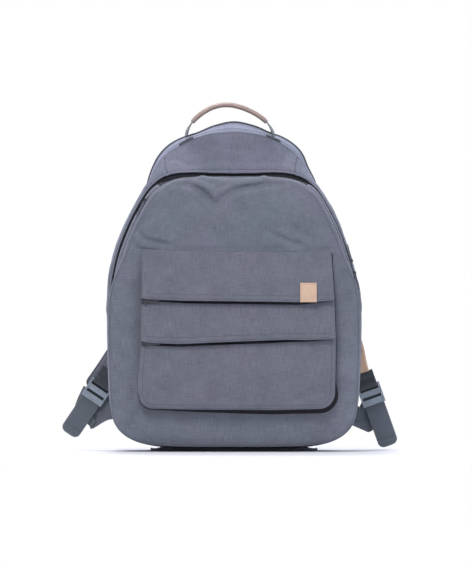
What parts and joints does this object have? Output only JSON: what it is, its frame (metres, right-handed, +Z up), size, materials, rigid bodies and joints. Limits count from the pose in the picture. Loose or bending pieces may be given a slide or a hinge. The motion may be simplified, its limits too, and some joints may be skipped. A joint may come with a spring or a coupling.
{
  "type": "daypack",
  "caption": "Soft-sided daypack with a zipped hood over the main compartment, a zipped front compartment, a shingled double pocket, a carry handle and padded shoulder straps.",
  "frame": {"origin": "on the flat base panel's resting face, centred across the width, 50 mm in front of the pack's widest outline", "axes": "+Z up the pack towards the handle, +Y towards the wearer's back, +X to the right when the front pockets face the viewer"},
  "size_m": [0.4697, 0.1705, 0.4914],
  "materials": {
    "canvas": "tight bluish grey canvas",
    "hood_canvas": "lighter grey canvas",
    "base_cloth": "coated dark cloth",
    "back_mesh": "spacer mesh",
    "foam": "closed-cell foam",
    "lining": "plain lining",
    "zip_tape": "black zip tape and coil",
    "webbing": "dark ribbed webbing",
    "leather": "natural tan leather",
    "slider_metal": "dark plated metal",
    "buckle_plastic": "moulded plastic"
  },
  "bodies": {
    "pack": {"base_panel": "base_cloth", "side_gusset_left": "canvas", "side_gusset_right": "canvas", "top_rear_gusset": "hood_canvas", "back_panel": "back_mesh", "back_foam": "foam", "laptop_sleeve": "lining", "divider_panel": "lining", "divider_gusset": "canvas", "main_zip_rear_sides": "zip_tape", "main_zip_front_half": "zip_tape", "front_zip_rear_half": "zip_tape", "front_zip_front_sides": "zip_tape", "zip_end_tabs": "canvas", "front_panel_lower": "canvas", "pocket_gusset": "canvas", "pocket_upper_panel": "canvas", "pocket_middle_panel": "canvas", "pocket_lower_panel": "canvas", "pocket_upper_zip": "zip_tape", "pocket_lower_zip": "zip_tape", "strap_yoke": "webbing", "handle_anchors": "webbing"},
    "hood": {"hood_panel": "hood_canvas", "hood_zip_half": "zip_tape"},
    "front_lid": {"front_panel_upper": "canvas", "front_zip_front_top": "zip_tape"},
    "upper_flap": {"pocket_upper_flap": "canvas", "leather_label": "leather"},
    "lower_flap": {"pocket_lower_flap": "canvas"},
    "handle": {"handle_webbing": "webbing", "handle_leather": "leather"},
    "main_slider_lower": {"main_slider_lower": "slider_metal"},
    "main_pull_lower": {"main_pull_lower": "slider_metal"},
    "main_slider_upper": {"main_slider_upper": "slider_metal"},
    "main_pull_upper": {"main_pull_upper": "slider_metal"},
    "front_slider": {"front_slider": "slider_metal"},
    "front_pull": {"front_pull": "slider_metal"},
    "pocket_upper_slider": {"pocket_upper_slider": "slider_metal"},
    "pocket_upper_pull": {"pocket_upper_pull": "slider_metal"},
    "pocket_lower_slider": {"pocket_lower_slider": "slider_metal"},
    "pocket_lower_pull": {"pocket_lower_pull": "slider_metal"},
    "strap_left": {"shoulder_pad_left": "canvas", "strap_leather_left": "leather", "buckle_loop_left": "webbing", "lower_webbing_left": "webbing", "anchor_wing_left": "canvas"},
    "strap_right": {"shoulder_pad_right": "canvas", "strap_leather_right": "leather", "buckle_loop_right": "webbing", "lower_webbing_right": "webbing", "anchor_wing_right": "canvas"},
    "lock_left": {"ladder_lock_left": "buckle_plastic"},
    "lock_right": {"ladder_lock_right": "buckle_plastic"},
    "tail_left": {"tail_webbing_left": "webbing"},
    "tail_right": {"tail_webbing_right": "webbing"}
  },
  "joints": [
    {"name": "hood_lift", "type": "hinge", "parent": "pack", "child": "hood", "pos_m": [0, 0.056, 0.449], "axis": [-1, 0, 0], "range_deg": [0, 40]},
    {"name": "front_lid_open", "type": "hinge", "parent": "pack", "child": "front_lid", "pos_m": [0, -0.0602, 0.286], "axis": [1, 0, 0], "range_deg": [0, 75]},
    {"name": "upper_flap_lift", "type": "hinge", "parent": "pack", "child": "upper_flap", "pos_m": [0, -0.07532, 0.2385], "axis": [-1, 0, 0], "range_deg": [0, 100]},
    {"name": "lower_flap_lift", "type": "hinge", "parent": "pack", "child": "lower_flap", "pos_m": [0, -0.07896, 0.18], "axis": [-1, 0, 0], "range_deg": [0, 100]},
    {"name": "handle_fold", "type": "hinge", "parent": "pack", "child": "handle", "pos_m": [0, 0.052, 0.4525], "axis": [-1, 0, 0], "range_deg": [-45, 60]},
    {"name": "main_slider_lower_run", "type": "hinge", "parent": "pack", "child": "main_slider_lower", "pos_m": [-0.1793, -0.016, 0.1705], "axis": [0, 1, 0], "range_deg": [0, 6.5]},
    {"name": "main_pull_lower_swing", "type": "hinge", "parent": "main_slider_lower", "child": "main_pull_lower", "pos_m": [0.1705, -0.016, 0.25126], "axis": [0, -1, 0], "range_deg": [0, 85]},
    {"name": "main_slider_upper_run", "type": "hinge", "parent": "pack", "child": "main_slider_upper", "pos_m": [-0.1793, -0.016, 0.1705], "axis": [0, -1, 0], "range_deg": [0, 14.5]},
    {"name": "main_pull_upper_swing", "type": "hinge", "parent": "main_slider_upper", "child": "main_pull_upper", "pos_m": [0.16614, -0.016, 0.26825], "axis": [0, 1, 0], "range_deg": [0, 85]},
    {"name": "front_slider_run", "type": "hinge", "parent": "pack", "child": "front_slider", "pos_m": [0.1793, -0.0335, 0.1705], "axis": [0, -1, 0], "range_deg": [0, 24]},
    {"name": "front_pull_swing", "type": "hinge", "parent": "front_slider", "child": "front_pull", "pos_m": [-0.12542, -0.0335, 0.3536], "axis": [0, 1, 0], "range_deg": [0, 150]},
    {"name": "pocket_upper_slider_run", "type": "slide", "parent": "pack", "child": "pocket_upper_slider", "axis": [1, 0, 0], "range_m": [0, 0.224]},
    {"name": "pocket_upper_pull_swing", "type": "hinge", "parent": "pocket_upper_slider", "child": "pocket_upper_pull", "pos_m": [-0.124, -0.0777, 0.2105], "axis": [0, 0, -1], "range_deg": [0, 150]},
    {"name": "pocket_lower_slider_run", "type": "slide", "parent": "pack", "child": "pocket_lower_slider", "axis": [1, 0, 0], "range_m": [0, 0.224]},
    {"name": "pocket_lower_pull_swing", "type": "hinge", "parent": "pocket_lower_slider", "child": "pocket_lower_pull", "pos_m": [-0.124, -0.0777, 0.152], "axis": [0, 0, -1], "range_deg": [0, 150]},
    {"name": "strap_left_swing", "type": "hinge", "parent": "pack", "child": "strap_left", "pos_m": [-0.036, 0.0855, 0.405], "axis": [-0.3123, 0, -0.95], "range_deg": [0, 100]},
    {"name": "strap_right_swing", "type": "hinge", "parent": "pack", "child": "strap_right", "pos_m": [0.036, 0.0855, 0.405], "axis": [-0.3123, 0, 0.95], "range_deg": [0, 100]},
    {"name": "lock_left_tilt", "type": "hinge", "parent": "strap_left", "child": "lock_left", "pos_m": [-0.18795, 0.0678, 0.09245], "axis": [-0.829, 0, 0.5592], "range_deg": [0, 60]},
    {"name": "lock_right_tilt", "type": "hinge", "parent": "strap_right", "child": "lock_right", "pos_m": [0.19079, 0.076, 0.08988], "axis": [-0.9426, 0, -0.3338], "range_deg": [0, 60]},
    {"name": "tail_left_swing", "type": "hinge", "parent": "lock_left", "child": "tail_left", "pos_m": [-0.20411, 0.0678, 0.06849], "axis": [-0.829, 0, 0.5592], "range_deg": [0, 80]},
    {"name": "tail_right_swing", "type": "hinge", "parent": "lock_right", "child": "tail_right", "pos_m": [0.20044, 0.076, 0.06263], "axis": [-0.9426, 0, -0.3338], "range_deg": [0, 80]}
  ]
}
